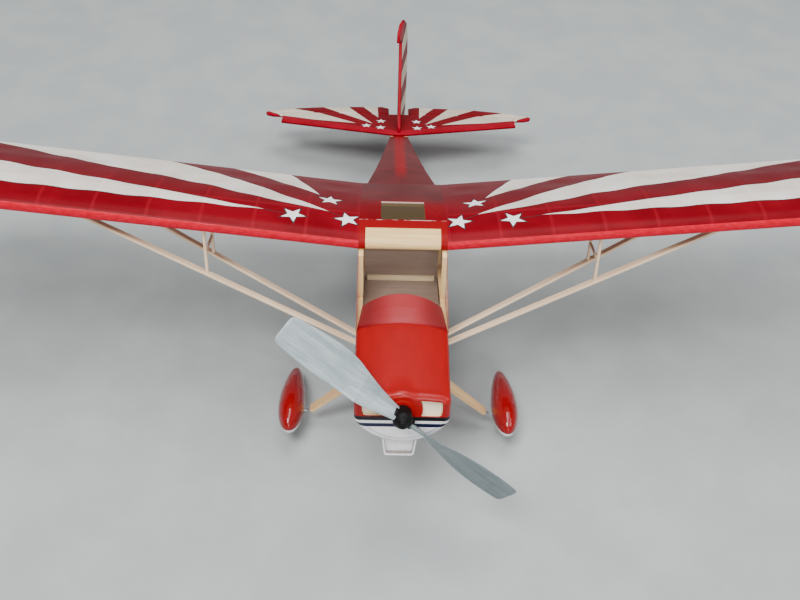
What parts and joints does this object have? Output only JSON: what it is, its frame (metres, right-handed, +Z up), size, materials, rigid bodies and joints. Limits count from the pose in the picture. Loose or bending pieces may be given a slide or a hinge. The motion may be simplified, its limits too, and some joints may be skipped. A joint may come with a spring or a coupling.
{
  "type": "rubber band plane",
  "caption": "Rubber-powered balsa cabin monoplane with strut-braced high wing, film covering, wheel pants, free propeller and hinged tail surfaces.",
  "frame": {"origin": "centre of the footprint box on the ground plane under the three wheels, aircraft standing nose-up on its main wheels and tail wheel", "axes": "+X along the span towards the aircraft's left wing, -Y towards the propeller, +Z up"},
  "size_m": [0.7624, 0.499, 0.1757],
  "materials": {
    "balsa": "bare sanded",
    "strut_wood": "bare sanded strip",
    "red_film": "shrunk translucent film with pale rays and stars",
    "clear_sheet": "clear sheet",
    "red_gloss": "gloss paint on moulded plastic",
    "white_gloss": "gloss",
    "grey_plastic": "satin moulded",
    "black_plastic": "moulded",
    "wheel_plastic": "moulded",
    "wire": "drawn wire",
    "brass": "turned",
    "tube": "drawn tube",
    "motor_rubber": "lubricated strip"
  },
  "bodies": {
    "fuselage": {"belly_covering": "red_film", "cabin_formers": "balsa", "cabin_windows": "clear_sheet", "centre_front_sheet": "balsa", "centre_section_covering": "red_film", "centre_section_frame": "balsa", "cowl": "red_gloss", "cowl_scoop": "white_gloss", "cross_members": "balsa", "dash_coaming": "red_gloss", "deck_covering": "red_film", "deck_stringer": "balsa", "fin_covering": "red_film", "fin_frame": "balsa", "left_front_strut": "strut_wood", "left_gear_wire": "wire", "left_jury_struts": "strut_wood", "left_leg_fairing": "strut_wood", "left_rear_strut": "strut_wood", "left_side_covering": "red_film", "left_side_frame": "balsa", "left_wheel_pant": "red_gloss", "left_wing_covering": "red_film", "left_wing_edges": "balsa", "left_wing_ribs": "balsa", "left_wing_spars": "balsa", "nose_block": "balsa", "right_front_strut": "strut_wood", "right_gear_wire": "wire", "right_jury_struts": "strut_wood", "right_leg_fairing": "strut_wood", "right_rear_strut": "strut_wood", "right_side_covering": "red_film", "right_side_frame": "balsa", "right_wheel_pant": "red_gloss", "right_wing_covering": "red_film", "right_wing_edges": "balsa", "right_wing_ribs": "balsa", "right_wing_spars": "balsa", "rubber_motor_rear": "motor_rubber", "skylight": "clear_sheet", "stabilizer_covering": "red_film", "stabilizer_frame": "balsa", "tail_wheel_wire": "wire", "windscreen": "clear_sheet"},
    "nose_plug": {"nose_plug": "black_plastic", "thrust_bearing": "brass"},
    "propeller": {"propeller_hub": "black_plastic", "propeller_blades": "grey_plastic", "prop_shaft": "wire", "rubber_motor_front": "motor_rubber"},
    "left_wheel": {"left_wheel": "wheel_plastic"},
    "right_wheel": {"right_wheel": "wheel_plastic"},
    "tail_wheel": {"tail_wheel": "wheel_plastic"},
    "rudder": {"rudder_frame": "balsa", "rudder_covering": "red_film"},
    "elevator": {"elevator_frame": "balsa", "elevator_covering": "red_film"},
    "motor_peg": {"motor_peg": "tube"}
  },
  "joints": [
    {"name": "nose_plug_slide", "type": "slide", "parent": "fuselage", "child": "nose_plug", "axis": [0, -0.982, 0.1891], "range_m": [0, 0.04]},
    {"name": "propeller_spin", "type": "hinge", "parent": "nose_plug", "child": "propeller", "pos_m": [0, -0.2296, 0.1067], "axis": [0, 0.982, -0.1891], "continuous": true},
    {"name": "left_wheel_spin", "type": "hinge", "parent": "fuselage", "child": "left_wheel", "pos_m": [0.0763, -0.15274, 0.014], "axis": [1, 0, 0], "continuous": true},
    {"name": "right_wheel_spin", "type": "hinge", "parent": "fuselage", "child": "right_wheel", "pos_m": [-0.0763, -0.15274, 0.014], "axis": [1, 0, 0], "continuous": true},
    {"name": "tail_wheel_spin", "type": "hinge", "parent": "fuselage", "child": "tail_wheel", "pos_m": [0, 0.21151, 0.007], "axis": [1, 0, 0], "continuous": true},
    {"name": "rudder_hinge", "type": "hinge", "parent": "fuselage", "child": "rudder", "pos_m": [0, 0.21793, 0.06788], "axis": [0, 0.1891, 0.982], "range_deg": [-16, 44]},
    {"name": "elevator_hinge", "type": "hinge", "parent": "fuselage", "child": "elevator", "pos_m": [0, 0.20438, 0.04137], "axis": [1, 0, 0], "range_deg": [-25, 25]},
    {"name": "motor_peg_slide", "type": "slide", "parent": "fuselage", "child": "motor_peg", "axis": [1, 0, 0], "range_m": [0, 0.036]}
  ]
}
